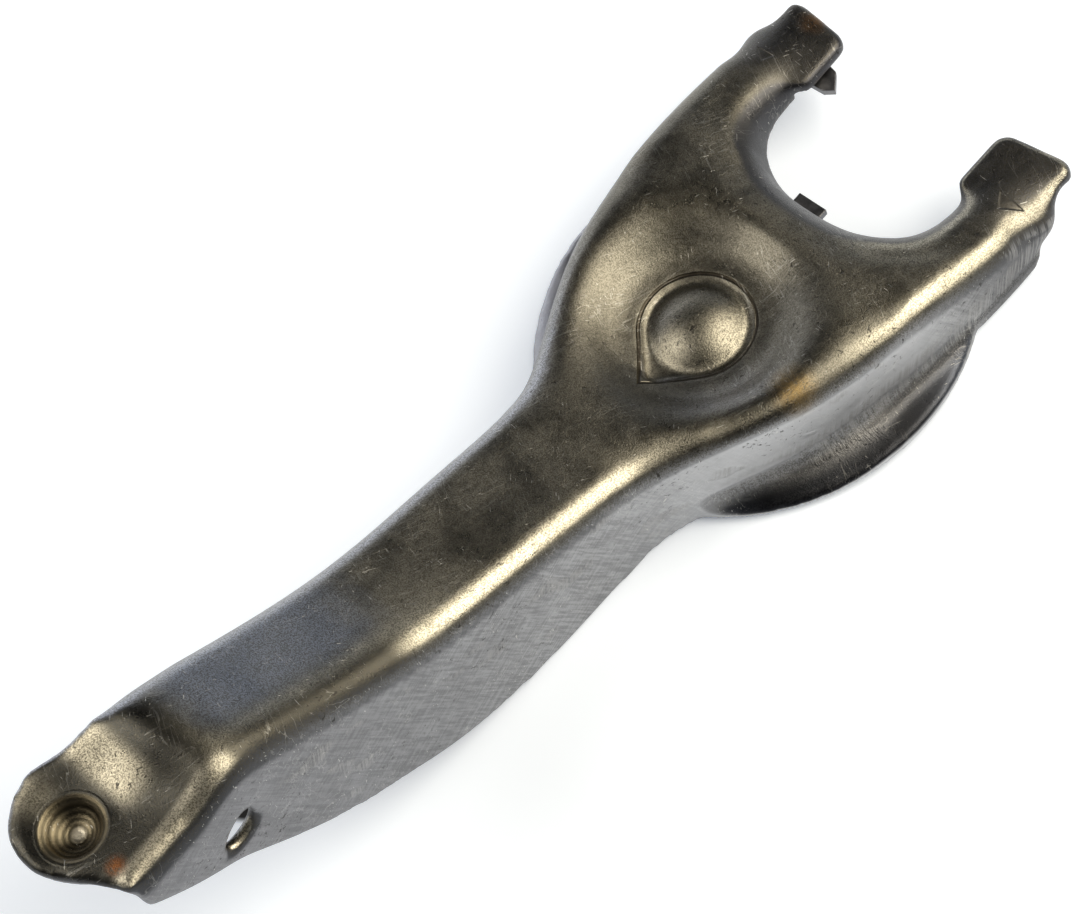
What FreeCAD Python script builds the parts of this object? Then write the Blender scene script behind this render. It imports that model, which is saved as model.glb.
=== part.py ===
import FreeCAD, Part
import os, math
import Sketcher

# Stamped clutch release fork: one deep-drawn steel channel that splits into a yoke, plus the
# spring that lies under the yoke.  +X runs from the push-rod end to the yoke tips, +Z is up as the
# fork lies on its flange edges, the origin is the middle of the ball-pivot dome.
V = FreeCAD.Vector
os.makedirs("parts", exist_ok=True)
doc = FreeCAD.newDocument("clutch_fork")
sheet = doc.addObject("Spreadsheet::Sheet", "Sizes")
SIZES = {
    # sheet and bends
    "gauge": 4.0, "bend_outer": 7.0,
    # stations of the web's top line, nose to tips (along, height)
    "tail_x": -212.0, "tail_top": 52.0, "crown_x": -185.0, "crown_top": 61.0,
    "hump_x": -166.0, "hump_top": 65.5, "drop_x": -151.0, "drop_top": 56.8,
    "knee_x": -108.0, "knee_top": 27.5, "shank_x": -72.0, "shank_top": 19.5,
    "saddle_x": -42.0, "saddle_top": 8.8, "brow_x": -20.0, "brow_top": 11.0,
    "pivot_x": 10.0, "pivot_top": 7.8, "arm_x": 40.0, "arm_top": 5.0,
    "ledge_x": 66.0, "ledge_top": -4.2, "tip_x": 88.0, "pad_top": -4.4,
    # half widths at the stations of the plan outline
    "nose_half": 16.2, "shank_half": 17.3, "waist_x": -56.0, "waist_half": 19.0,
    "throat_x": -38.0, "throat_half": 19.0, "cheek_x": -8.0, "cheek_half": 37.0,
    "shoulder_x": 16.0, "shoulder_half": 42.2, "arm_half": 45.4, "arm_wide_x": 62.0,
    "arm_wide": 47.4, "arm_end": 79.0, "arm_end_half": 46.0, "tip_corner": 8.0,
    # notch between the arms
    "notch_root": 43.0, "notch_flat": 11.5, "notch_bend_x": 49.6, "notch_bend": 24.0,
    "notch_mid_x": 61.0, "notch_half": 27.8, "notch_lip_x": 72.0, "notch_lip": 26.6,
    "notch_mouth": 28.0,
    # lower edges of the flanges
    "heel_x": -189.5, "heel_low": 46.0, "toe_x": -146.0, "toe_low": 3.0,
    "belly_x": -104.0, "belly_low": -22.5, "keel_x": -70.0, "keel_low": -25.0,
    "yoke_low": -24.0, "rise_x": 68.0, "end_low": -10.5, "wall_low": -12.0,
    "belly_round": 70.0, "rise_round": 10.0,
    # brim of the yoke flanges
    "brim_round": 60.0, "brim_x": 19.0, "brim_left_back": 5.4, "brim_side": 8.0, "brim_flare": 5.0,
    # tip pads
    "pad_in_x": 68.0, "pad_in": 23.4, "pad_far_x": 84.4, "pad_far_in": 23.6,
    "pad_far_out_x": 87.0, "pad_far_out": 43.0, "pad_round": 4.5, "right_more": 1.3,
    "ear_x": 73.0, "ear_half": 42.6, "ear_round": 6.4, "ear_high": -11.2,
    # pivot dish, drop-shaped recess and ball dome
    "dish_deep": 8.2, "pivot_high": 8.1, "dish_lean": 3.0, "drop_round": 13.8,
    "drop_point": 20.0, "drop_deep": 1.3, "dome_round": 17.5, "dome_high": 4.8,
    # nose bowl, push-rod seat, return-spring hole
    "nose_end": -190.0, "plate_high": 58.8, "seat_x": -188.4, "seat_side": 4.6,
    "bowl_deep": 4.6, "seat_round": 8.0, "seat_deep": 4.2, "nose_cut": -169.0,
    "nose_left": 22.8, "nose_tip": -201.6, "hole_x": -164.1, "hole_high": 38.1,
    "hole_size": 9.4,
    # spring under the yoke
    "spring_gauge": 2.0, "spring_top": -9.6, "tongue_half": 4.2, "tongue_out": 2.6, "tongue_side": 3.6,
    "finger_left": 19.4, "finger_right": 23.0,
    "slot_high": -9.6,
}
for row, (name, value) in enumerate(SIZES.items(), start=1):
    sheet.set("A%d" % row, name)
    sheet.set("B%d" % row, repr(value))
    sheet.setAlias("B%d" % row, name)
doc.recompute()


def terms(text):
    """Split a small sum of size names such as 'gauge*2-nose_half' into signed products."""
    text = text.replace(" ", "").replace("-", "+-")
    return [bit for bit in text.split("+") if bit]


def val(text):
    total = 0.0
    for term in terms(text):
        part = -1.0 if term[0] == "-" else 1.0
        for bit in term.lstrip("-").split("*"):
            part *= SIZES[bit] if bit in SIZES else float(bit)
        total += part
    return total


def expr(text):
    out = []
    for term in terms(text):
        bits = ["Sizes." + b if b in SIZES else b for b in term.lstrip("-").split("*")]
        out.append(("-" if term[0] == "-" else "+") + "*".join(bits))
    return "".join(out).lstrip("+")


def pin(sk, geo, pos, across, up):
    for kind, text in (("DistanceX", across), ("DistanceY", up)):
        num = sk.addConstraint(Sketcher.Constraint(kind, -1, 1, geo, pos, val(text)))
        sk.setExpression("Constraints[%d]" % num, expr(text))


def outline(name, plane, runs):
    """Closed sketch.  Each run is ("curve", poles) or ("line", [start, end]); a run starts where
    the one before it ends.  Every pole and every line start is pinned to its sizes."""
    sk = doc.addObject("Sketcher::SketchObject", name)
    if plane == "XZ":
        sk.Placement = FreeCAD.Placement(V(0, 0, 0), FreeCAD.Rotation(V(1, 0, 0), 90))
    geos = []
    for kind, points in runs:
        at = [V(val(a), val(b), 0) for a, b in points]
        if kind == "line":
            geos.append(sk.addGeometry(Part.LineSegment(at[0], at[1]), False))
            continue
        inner = len(at) - 4
        curve = Part.BSplineCurve()
        curve.buildFromPolesMultsKnots(at, [4] + [1] * inner + [4],
                                       [float(k) for k in range(inner + 2)], False, 3)
        geo = sk.addGeometry(curve, False)
        geos.append(geo)
        first = sk.GeometryCount
        sk.exposeInternalGeometry(geo)
        for k, (a, b) in enumerate(points):
            pin(sk, first + k, 3, a, b)
    for k, (kind, points) in enumerate(runs):
        sk.addConstraint(Sketcher.Constraint("Coincident", geos[k - 1], 2, geos[k], 1))
        if kind == "line" and runs[k - 1][0] == "line":
            pin(sk, geos[k], 1, *points[0])
    return sk


def polygon(name, plane, corners):
    runs = [("line", [corners[k], corners[(k + 1) % len(corners)]]) for k in range(len(corners))]
    return outline(name, plane, runs)


def extrude(name, base, way, fwd, rev):
    ex = doc.addObject("Part::Extrusion", name)
    ex.Base, ex.DirMode, ex.Dir, ex.Solid = base, "Custom", way, True
    ex.LengthFwd, ex.LengthRev = fwd, rev
    return ex


def mirrored(points):
    """The same points on the other side of the fork: every term of the second sum changes sign."""
    return [(a, "".join("+" + t[1:] if t[0] == "-" else "-" + t for t in terms(b)))
            for a, b in points]


side_run = [(n + "_x", n + "_top") for n in ("tail", "crown", "hump", "drop", "knee", "shank",
                                            "saddle", "brow", "pivot", "arm", "ledge")]
side_run += [("tip_x", "pad_top")]
deep = "-70"
side = outline("side_line", "XZ", [
    ("curve", side_run), ("line", [side_run[-1], ("tip_x", deep)]),
    ("line", [("tip_x", deep), ("tail_x", deep)]), ("line", [("tail_x", deep), side_run[0]])])
edge_run = [("tail_x", "nose_half"), ("knee_x", "shank_half"), ("waist_x", "waist_half"),
            ("throat_x", "throat_half"), ("cheek_x", "cheek_half"),
            ("shoulder_x", "shoulder_half"), ("arm_x", "arm_half"), ("arm_wide_x", "arm_wide"),
            ("arm_end", "arm_end_half")]
half_notch = [("arm_end", "notch_mouth"), ("notch_lip_x", "notch_lip"),
              ("notch_mid_x", "notch_half"), ("notch_bend_x", "notch_bend"),
              ("notch_root", "notch_flat")]
notch_run = half_notch + [("notch_root", "0")] + mirrored(half_notch)[::-1]
plan = outline("plan_line", "XY", [
    ("curve", edge_run), ("line", [edge_run[-1], notch_run[0]]), ("curve", notch_run),
    ("line", [notch_run[-1], mirrored(edge_run)[-1]]), ("curve", mirrored(edge_run)[::-1]),
    ("line", [mirrored(edge_run)[0], edge_run[0]])])
doc.recompute()


def primitive(kind, name, where, turn=None, **binds):
    ob = doc.addObject(kind, name)
    for key, text in binds.items():
        ob.setExpression(key, expr(text))
    if turn:
        ob.Placement = FreeCAD.Placement(V(0, 0, 0), turn)
    for axis, text in zip("xyz", where):
        ob.setExpression("Placement.Base." + axis, expr(text))
    return ob


def cut(name, first, second):
    ob = doc.addObject("Part::Cut", name)
    ob.Base, ob.Tool = first, second
    return ob


def shared(name, items):
    ob = doc.addObject("Part::MultiCommon", name)
    ob.Shapes = items
    return ob


def fused(name, items):
    ob = doc.addObject("Part::MultiFuse", name)
    ob.Shapes = items
    return ob


def bend(name, base, radius, keep):
    """Round with one radius every edge whose middle point and direction keep() accepts."""
    doc.recompute()
    picks = []
    for num, edge in enumerate(base.Shape.Edges, start=1):
        a, b = edge.ParameterRange
        if keep(edge.valueAt((a + b) / 2), edge.tangentAt((a + b) / 2), edge):
            picks.append((num, radius, radius))
    ob = doc.addObject("Part::Fillet", name)
    ob.Base, ob.Edges = base, picks
    doc.recompute()
    print(name, len(picks), ob.State, ob.Shape.isValid(), round(ob.Shape.Volume))
    return ob


# ---- hull and hollow: the outside of the channel and the same space one gauge further in ----
def inward(points, turn):
    """Poles moved one gauge square to the line through their neighbours; turn is +1 or -1."""
    at = [V(val(a), val(b), 0) for a, b in points]
    moved = []
    for k, (a, b) in enumerate(points):
        before = (at[k] - at[max(k - 1, 0)])
        after = (at[min(k + 1, len(at) - 1)] - at[k])
        way = V(0, 0, 0)
        for step in (before, after):
            if step.Length > 0.001:
                way += step / step.Length
        way = way / way.Length
        x, y = -way.y * turn, way.x * turn
        ends = k in (0, len(at) - 1)
        stretch = 1 if ends else 2 / max(1.6, (before.normalize() + after.normalize()).Length)
        moved.append((a + "%+.4f*gauge" % (x * stretch), b + "%+.4f*gauge" % (y * stretch)))
    return moved


side_in_run = inward(side_run, -1)
side_in = outline("side_line_inside", "XZ", [
    ("curve", side_in_run), ("line", [side_in_run[-1], (side_in_run[-1][0], deep)]),
    ("line", [(side_in_run[-1][0], deep), (side_in_run[0][0], deep)]),
    ("line", [(side_in_run[0][0], deep), side_in_run[0]])])
edge_in = inward(edge_run, -1)
edge_in[-1] = ("arm_end-gauge", edge_in[-1][1])
half_in = inward(half_notch, -1)
half_in[0] = ("arm_end-gauge", half_in[0][1])
notch_in = half_in + [("notch_root-gauge", "0")] + mirrored(half_in)[::-1]
plan_in = outline("plan_line_inside", "XY", [
    ("curve", edge_in), ("line", [edge_in[-1], notch_in[0]]), ("curve", notch_in),
    ("line", [notch_in[-1], mirrored(edge_in)[-1]]), ("curve", mirrored(edge_in)[::-1]),
    ("line", [mirrored(edge_in)[0], edge_in[0]])])
span = extrude("side_block", side, V(0, 1, 0), 70, 70)
rise = extrude("plan_block", plan, V(0, 0, 1), 90, 70)
span_in = extrude("side_block_inside", side_in, V(0, 1, 0), 72, 72)
rise_in = extrude("plan_block_inside", plan_in, V(0, 0, 1), 90, 72)


def tip_upright(mid, way, edge):
    return abs(way.z) > 0.95 and mid.x > val("arm_end-gauge-1")


def web_rim(mid, way, edge):
    return abs(way.z) < 0.9 and mid.z > -20 and mid.x > val("tail_x+gauge*2+1")


hull = bend("hull", bend("hull_tips", shared("hull_block", [span, rise]),
                         val("tip_corner"), tip_upright), val("bend_outer"), web_rim)
hollow = bend("hollow", bend("hollow_tips", shared("hollow_block", [span_in, rise_in]),
                             val("tip_corner-gauge"), tip_upright),
              val("bend_outer-gauge"), web_rim)

# ---- brims: the yoke flanges turn outward along their lower edge ----
brims = []
for name, way in (("brim_left", "-"), ("brim_right", "")):
    back = "-brim_left_back" if way else ""
    disc = primitive("Part::Cylinder", name + "_disc",
                     ("brim_x" + back, way + "brim_side", "yoke_low"),
                     Radius="brim_round", Height="gauge")
    strip = primitive("Part::Box", name + "_strip",
                      ("-60", "waist_half" if way else "-70", "yoke_low-1"),
                      Length="brim_x+95", Width="70-waist_half", Height="gauge+2")
    brims.append(shared(name, [disc, strip]))
notch_space = primitive("Part::Box", "notch_space", ("notch_root-8", "-arm_half+4", "-60"),
                        Length="60", Width="arm_half*2-8", Height="120")
brim_plates = cut("brim_plates", fused("brim_pair", brims), notch_space)
outer = fused("outer", [hull, brim_plates])
doc.recompute()
print("outer", outer.Shape.isValid(), len(outer.Shape.Solids), round(outer.Shape.Volume))


def brim_root(mid, way, edge):
    if abs(mid.z - val("yoke_low+gauge")) > 0.01 or abs(way.z) > 0.01:
        return False
    back = val("brim_left_back") if mid.y > 0 else 0.0
    off = math.hypot(mid.x - val("brim_x") + back, abs(mid.y) + val("brim_side"))
    off -= val("brim_round")
    return abs(off) > 0.3


flared = bend("flared", outer, val("brim_flare"), brim_root)
channel = cut("channel", flared, hollow)

# ---- lower edges ----
low_run = [("heel_x-25.5", "heel_low+25.2"), ("toe_x", "toe_low"), ("belly_x", "belly_low"),
           ("keel_x", "keel_low"), ("throat_x", "yoke_low"), ("rise_x", "yoke_low"),
           ("arm_end", "end_low"), ("tip_x+30", "end_low"), ("tip_x+30", "-110"),
           ("heel_x-25.5", "-110")]
trim = extrude("trim_block", polygon("lower_line", "XZ", low_run), V(0, 1, 0), 90, 90)


def low_bend(mid, way, edge):
    return abs(way.y) > 0.95 and val("toe_x-1") < mid.x < val("keel_x+1") and mid.z > -30


trimmed = cut("trimmed", channel, bend("trim_round", trim, val("belly_round"), low_bend))

# ---- the notch wall is shallower than the outer flanges and stops short of the pads ----
wall_trim = primitive("Part::Box", "wall_trim", ("notch_root-10", "-arm_half+10", "wall_low-50"),
                      Length="70", Width="arm_half*2-20", Height="50")
lip_trim = primitive("Part::Box", "lip_trim", ("pad_in_x-1", "-arm_half+8", "pad_top-gauge-20"),
                     Length="40", Width="arm_half*2-16", Height="20")
slot = primitive("Part::Box", "tongue_slot", ("notch_root-8", "tongue_side-tongue_half", "wall_low-5"),
                 Length="12", Width="tongue_half*2", Height="slot_high-wall_low+5")
walls = cut("walls", trimmed, fused("wall_cuts", [wall_trim, lip_trim, slot]))

# ---- tip pads ----
def pad_run(more):
    return [("pad_in_x-3", "notch_lip+1"), ("pad_in_x+1", "pad_in"),
            ("pad_far_x" + more, "pad_far_in"), ("pad_far_out_x" + more, "pad_far_out" + more),
            ("arm_end", "arm_end_half-1" + more), ("pad_in_x-3", "arm_half-6")]


pads = []
for name, run in (("pad_left", pad_run("")), ("pad_right", mirrored(pad_run("+right_more"))[::-1])):
    plate = extrude(name + "_plate", polygon(name + "_line", "XY", run), V(0, 0, 1), 0, 0)
    plate.setExpression("LengthFwd", expr("pad_top"))
    plate.setExpression("LengthRev", expr("gauge-pad_top"))
    pads.append(bend(name, plate, val("pad_round"),
                     lambda mid, way, edge: abs(way.z) > 0.95 and mid.x > val("arm_end+1")))


def pad_brow(mid, way, edge):
    return abs(way.z) < 0.1 and mid.z > val("pad_top-0.1") and mid.x > val("pad_far_x-3")


pads = [bend(pad.Name + "_crown", pad, 2.4, pad_brow) for pad in pads]

# a small ear where each outer flange runs out beside its pad
ears = []
for name, way in (("ear_left", ""), ("ear_right", "-")):
    ball = primitive("Part::Sphere", name + "_ball", ("ear_x", way + "ear_half", "ear_high"),
                     Radius="ear_round")
    ears.append(cut(name, ball, hollow))

# ---- nose: no flange on the left, where the sheet ends in a flat rounded lip ----
left_away = primitive("Part::Box", "left_flange_end", ("nose_cut-60", "nose_half-bend_outer", "-80"),
                      Length="60", Width="60", Height="200")
tail_away = primitive("Part::Box", "tail_end", ("nose_end-60", "-60", "-80"),
                      Length="60", Width="120", Height="200")
lip_curve = [("nose_cut+1", "nose_half+1.6"), ("nose_cut-6", "nose_half+1.4"),
             ("nose_cut-14", "nose_left"), ("seat_x-5", "nose_left-1.6"),
             ("nose_tip", "nose_left-9.4"), ("nose_tip", "2"), ("nose_tip+7.6", "-7"),
             ("nose_end-0.6", "-nose_half")]
lip_back = [lip_curve[-1], ("nose_end+6", "-nose_half+4"), ("nose_cut+7", "-nose_half+5"),
            ("nose_cut+7", "nose_half-bend_outer"), lip_curve[0]]
lip = extrude("lip_block", outline("lip_line", "XY", [("curve", lip_curve)] + [
    ("line", [lip_back[k], lip_back[k + 1]]) for k in range(4)]), V(0, 0, 1), 90, -30)
lip_plate = cut("lip_plate", shared("lip_under_web", [lip, span]), span_in)


def press(name, where, floor, profile, lean, drop=""):
    """Space above a pressed hollow: its profile (radius, height over the floor) turned round an
    upright axis.  Moved down by one gauge it also bounds the metal under the hollow."""
    runs = [(r, z) for r, z in profile]
    top = (runs[-1][0], "90")
    sk = outline(name + "_line", "XZ", [("curve", runs), ("line", [runs[-1], top]),
                                        ("line", [top, ("0", "90")]),
                                        ("line", [("0", "90"), runs[0]])])
    turned = doc.addObject("Part::Revolution", name)
    turned.Source, turned.Axis, turned.Base = sk, V(0, 0, 1), V(0, 0, 0)
    turned.Angle, turned.Solid = 360, True
    turned.setExpression("Placement.Base.x", expr(where[0]))
    turned.setExpression("Placement.Base.y", expr(where[1]))
    turned.setExpression("Placement.Base.z", expr(floor + drop))
    if lean:
        turned.setExpression("Placement.Rotation.Axis.y", "1")
        turned.setExpression("Placement.Rotation.Angle", expr(lean))
    return turned


bowl_steps = [("0", "0"), ("seat_round", "0"), ("seat_round*1.6", "bowl_deep*0.2"),
              ("seat_round*2.2", "bowl_deep*0.65"), ("seat_round*2.8", "bowl_deep*1.3"),
              ("seat_round*3.4", "bowl_deep*1.78"), ("seat_round*4.1", "bowl_deep*1.95"),
              ("seat_round*4.8", "bowl_deep*2.6"), ("seat_round*5", "bowl_deep*5")]
at_seat = ("seat_x", "seat_side")
bowl = press("bowl", at_seat, "plate_high-bowl_deep", bowl_steps, "")
bowl_under = press("bowl_under", at_seat, "plate_high-bowl_deep", bowl_steps, "", "-gauge")
bowl_metal = shared("bowl_metal", [lip, span, bowl_under])
seat_under = primitive("Part::Sphere", "seat_under",
                       ("seat_x", "seat_side", "plate_high-bowl_deep-seat_deep+seat_round"),
                       Radius="seat_round+gauge-1")
seat_metal = shared("seat_metal", [lip, span, seat_under])
seat = primitive("Part::Sphere", "seat", ("seat_x", "seat_side",
                                          "plate_high-bowl_deep-seat_deep+seat_round"),
                 Radius="seat_round")
hole = primitive("Part::Cylinder", "spring_hole", ("hole_x", "0", "hole_high"),
                 turn=FreeCAD.Rotation(V(1, 0, 0), 90), Radius="hole_size*0.5", Height="40")

# ---- pivot: shallow dish, drop-shaped recess, ball dome pressed up from below ----
dish_steps = [("0", "0"), ("drop_round*0.6", "0"), ("drop_round*1.15", "0"),
              ("drop_round*1.6", "dish_deep*0.28"), ("drop_round*1.95", "dish_deep*0.8"),
              ("drop_round*2.3", "dish_deep"), ("drop_round*2.7", "dish_deep*1.06"),
              ("drop_round*3.05", "dish_deep*1.3"), ("drop_round*3.2", "dish_deep*2.4")]
dish = press("dish", ("0", "0"), "pivot_high-dish_deep", dish_steps, "dish_lean")
dish_under = press("dish_under", ("0", "0"), "pivot_high-dish_deep", dish_steps, "dish_lean",
                   "-gauge")
dish_column = primitive("Part::Cylinder", "dish_column", ("0", "0", "-30"),
                        Radius="drop_round*2.4", Height="60")
dish_metal = shared("dish_metal", [hull, dish_under, dish_column])
drop = doc.addObject("Sketcher::SketchObject", "drop_line")
r, far = val("drop_round"), val("drop_point")
lean = math.acos(r / far)
touch = V(-r * math.cos(lean), r * math.sin(lean), 0)
drop.addGeometry(Part.Arc(V(touch.x, -touch.y, 0), V(r, 0, 0), touch), False)
drop.addGeometry(Part.LineSegment(touch, V(-far, 0, 0)), False)
drop.addGeometry(Part.LineSegment(V(-far, 0, 0), V(touch.x, -touch.y, 0)), False)
drop.addConstraint(Sketcher.Constraint("Coincident", 0, 3, -1, 1))
drop.addConstraint(Sketcher.Constraint("Coincident", 1, 2, 2, 1))
drop.addConstraint(Sketcher.Constraint("Tangent", 0, 2, 1, 1))
drop.addConstraint(Sketcher.Constraint("Tangent", 2, 2, 0, 1))
drop.addConstraint(Sketcher.Constraint("PointOnObject", 1, 2, -1))
num = drop.addConstraint(Sketcher.Constraint("Radius", 0, r))
drop.setExpression("Constraints[%d]" % num, expr("drop_round"))
num = drop.addConstraint(Sketcher.Constraint("DistanceX", -1, 1, 1, 2, -far))
drop.setExpression("Constraints[%d]" % num, expr("-drop_point"))
drop.setExpression("Placement.Base.z", expr("pivot_high-dish_deep-drop_deep"))
recess = bend("drop_recess", extrude("drop_space", drop, V(0, 0, 1), 12, 0), 3.5,
              lambda mid, way, edge: abs(way.z) > 0.95 and mid.x < val("-drop_round-2"))
drop_boss = doc.addObject("Part::Offset2D", "drop_boss_line")
drop_boss.Source, drop_boss.Fill, drop_boss.Value = drop, False, 1.5
boss = extrude("drop_boss", drop_boss, V(0, 0, 1), 0, 4)
boss.setExpression("LengthRev", expr("gauge"))
dome_cap = primitive("Part::Sphere", "dome_cap",
                     ("0", "0", "pivot_high-dish_deep-drop_deep+dome_high-dome_round"),
                     Radius="dome_round")
dome_ring = primitive("Part::Cylinder", "dome_ring", ("0", "0", "pivot_high-dish_deep-drop_deep-gauge"),
                      Radius="drop_round", Height="gauge+dome_high")
dome = shared("dome", [dome_cap, dome_ring])
socket = primitive("Part::Sphere", "ball_socket",
                   ("0", "0", "pivot_high-dish_deep-drop_deep+dome_high-dome_round"),
                   Radius="dome_round-gauge")

shell = cut("shell_ends", walls, fused("end_cuts", [left_away, tail_away]))
metal = fused("metal", [shell, lip_plate, bowl_metal, seat_metal, dish_metal, boss] + pads + ears)
hollowed = cut("pressed", metal, fused("presses", [bowl, seat, hole, dish, recess]))
crowned = fused("with_dome", [hollowed, dome])
fork = cut("fork_body", crowned, socket)
fork.Label = "fork_body"

# ---- spring under the yoke: tongue through the slot, two arms ending below the pads ----
def half_spring(tongue, finger):
    return [("notch_root+tongue_out", tongue), ("notch_root-5", tongue),
            ("notch_root-5.4", "notch_flat+1"), ("notch_bend_x-4", "notch_half"),
            ("notch_mid_x-5", "notch_half+5.4"), ("pad_in_x-1", "notch_half+5.4"),
            ("pad_in_x+3", "pad_in+6"), ("pad_in_x+3.4", finger + "+2.4"),
            ("pad_in_x+5.2", finger), ("pad_in_x+9.4", finger + "+3.2"),
            ("pad_in_x+11", "pad_in+6"), ("pad_in_x+3", "notch_half+10"),
            ("notch_mid_x-6", "notch_half+10"), ("arm_x", "notch_half+6"),
            ("notch_root-11", "notch_half-7"), ("notch_root-12", "tongue_half")]


spring_run = half_spring("tongue_half+tongue_side", "finger_left")
spring_run += mirrored(half_spring("tongue_half-tongue_side", "finger_right"))[::-1]
spring = extrude("retaining_spring", polygon("spring_line", "XY", spring_run), V(0, 0, 1), 0, 0)
spring.setExpression("LengthFwd", expr("spring_top"))
spring.setExpression("LengthRev", expr("spring_gauge-spring_top"))
spring.Label = "retaining_spring"
doc.recompute()

for ob in doc.Objects:
    if "Invalid" in ob.State or "Error" in ob.State:
        print("TROUBLE", ob.Name, ob.State)
for ob in (fork, spring):
    shape = ob.Shape
    print(ob.Label, shape.isValid(), len(shape.Solids), round(shape.Volume), shape.BoundBox)
    if shape.isNull() or not shape.isValid() or len(shape.Solids) != 1:
        raise SystemExit("bad shape " + ob.Label)
    shape.exportStep("parts/%s.step" % ob.Label)
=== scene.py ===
import bpy, math
import numpy as np
from mathutils import Vector, Matrix


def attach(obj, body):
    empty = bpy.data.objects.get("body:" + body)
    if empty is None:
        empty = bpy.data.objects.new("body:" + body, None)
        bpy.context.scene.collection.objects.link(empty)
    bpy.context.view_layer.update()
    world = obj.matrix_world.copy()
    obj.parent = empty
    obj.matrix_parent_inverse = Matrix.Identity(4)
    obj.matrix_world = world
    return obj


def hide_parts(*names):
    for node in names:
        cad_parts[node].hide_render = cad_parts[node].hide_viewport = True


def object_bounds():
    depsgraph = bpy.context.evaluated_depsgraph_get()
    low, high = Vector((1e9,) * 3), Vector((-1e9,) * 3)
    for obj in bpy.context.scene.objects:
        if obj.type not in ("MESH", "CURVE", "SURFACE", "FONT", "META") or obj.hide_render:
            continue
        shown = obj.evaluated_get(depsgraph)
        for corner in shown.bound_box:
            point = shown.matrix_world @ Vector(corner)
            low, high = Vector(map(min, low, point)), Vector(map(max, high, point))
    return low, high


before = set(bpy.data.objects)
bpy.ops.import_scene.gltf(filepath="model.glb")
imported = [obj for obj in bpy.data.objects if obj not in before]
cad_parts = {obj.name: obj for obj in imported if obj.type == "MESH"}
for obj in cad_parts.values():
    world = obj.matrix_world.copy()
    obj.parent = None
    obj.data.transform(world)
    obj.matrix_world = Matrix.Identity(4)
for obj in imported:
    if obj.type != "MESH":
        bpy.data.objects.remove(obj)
cad_lo, cad_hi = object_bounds()
scene = bpy.context.scene
MM = 0.001


# ---------------------------------------------------------------- node helpers
class Graph:
    """Small helper that wires shader nodes by short calls."""

    def __init__(self, tree):
        self.tree, self.nodes, self.links = tree, tree.nodes, tree.links

    def feed(self, socket, value):
        if isinstance(value, bpy.types.NodeSocket):
            self.links.new(value, socket)
        elif value is not None:
            socket.default_value = value

    def node(self, kind, ins=None, **props):
        n = self.nodes.new(kind)
        for k, v in props.items():
            setattr(n, k, v)
        for k, v in (ins or {}).items():
            self.feed(n.inputs[k], v)
        return n

    def math(self, op, a, b=None, c=None, clamp=False):
        n = self.node("ShaderNodeMath", operation=op, use_clamp=clamp)
        for s, v in zip(n.inputs, (a, b, c)):
            self.feed(s, v)
        return n.outputs[0]

    def vec(self, op, a, b=None, out=0):
        n = self.node("ShaderNodeVectorMath", operation=op)
        self.feed(n.inputs[0], a)
        self.feed(n.inputs[1], b)
        return n.outputs[out]

    def scaled(self, vector, xyz):
        return self.vec("MULTIPLY", vector, xyz)

    def turned(self, vector, angles):
        return self.node("ShaderNodeVectorRotate", {"Vector": vector, "Rotation": angles},
                         rotation_type="EULER_XYZ").outputs[0]

    def noise(self, vector, scale, detail=3.0, rough=0.55, warp=0.0):
        return self.node("ShaderNodeTexNoise", {"Vector": vector, "Scale": scale, "Detail": detail,
                                                "Roughness": rough, "Distortion": warp}).outputs[0]

    def step(self, value, lo, hi, a=0.0, b=1.0):
        return self.node("ShaderNodeMapRange", {0: value, 1: lo, 2: hi, 3: a, 4: b},
                         interpolation_type="SMOOTHSTEP").outputs[0]

    def mix(self, fac, a, b):
        n = self.node("ShaderNodeMix", data_type="RGBA")
        self.feed(n.inputs[0], fac)
        self.feed(n.inputs[6], a)
        self.feed(n.inputs[7], b)
        return n.outputs[2]

    def both(self, first, *rest):
        """Product of masks or amounts: full only where each of them is."""
        for other in rest:
            first = self.math("MULTIPLY", first, other)
        return first

    def tint(self, colour, mask, much, tone):
        return self.mix(self.both(mask, much), colour, tone)

    def blob(self, coord, at, radius, soft=0.6):
        """1 inside a round spot, falling to 0 at radius (mm)."""
        far = self.vec("DISTANCE", coord, at, out=1)
        return self.step(far, radius * (1 - soft), radius, 1.0, 0.0)


def group(name, ins, outs, build):
    tree = bpy.data.node_groups.new(name, "ShaderNodeTree")
    for n, kind, default in ins:
        s = tree.interface.new_socket(n, in_out="INPUT", socket_type=kind)
        if default is not None:
            s.default_value = default
    for n, kind in outs:
        tree.interface.new_socket(n, in_out="OUTPUT", socket_type=kind)
    g = Graph(tree)
    gi, go = g.node("NodeGroupInput"), g.node("NodeGroupOutput")
    for k, v in build(g, {s.name: s for s in gi.outputs if s.name}).items():
        g.feed(go.inputs[k], v)
    return tree


def use(g, tree, ins):
    n = g.node("ShaderNodeGroup", node_tree=tree)
    for k, v in ins.items():
        g.feed(n.inputs[k], v)
    return n.outputs


FLT, VEC = "NodeSocketFloat", "NodeSocketVector"


def rgb(r, g, b):
    return (r, g, b, 1.0)


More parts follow.
